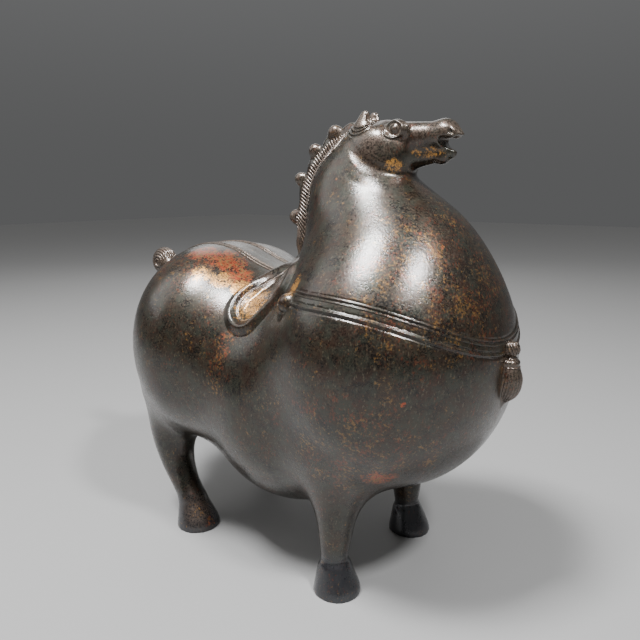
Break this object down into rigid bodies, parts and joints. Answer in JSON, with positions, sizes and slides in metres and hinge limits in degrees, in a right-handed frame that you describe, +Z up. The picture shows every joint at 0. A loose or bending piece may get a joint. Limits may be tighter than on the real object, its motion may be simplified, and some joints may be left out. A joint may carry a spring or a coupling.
{
  "type": "horse sculpture",
  "caption": "Stylised cast bronze horse with a globe-shaped body, short legs, knobbed mane, open mouth, saddle flaps and a tasselled breast collar.",
  "frame": {"origin": "middle of the bounding box on the plane the hooves stand on", "axes": "+X toward the nose, +Y toward the horse's left side, +Z up"},
  "size_m": [0.3014, 0.1598, 0.28],
  "materials": {
    "bronze": "dark brown lustrous patina with rubbed red and golden spots"
  },
  "bodies": {
    "root": {"horse_casting": "bronze"}
  },
  "joints": []
}
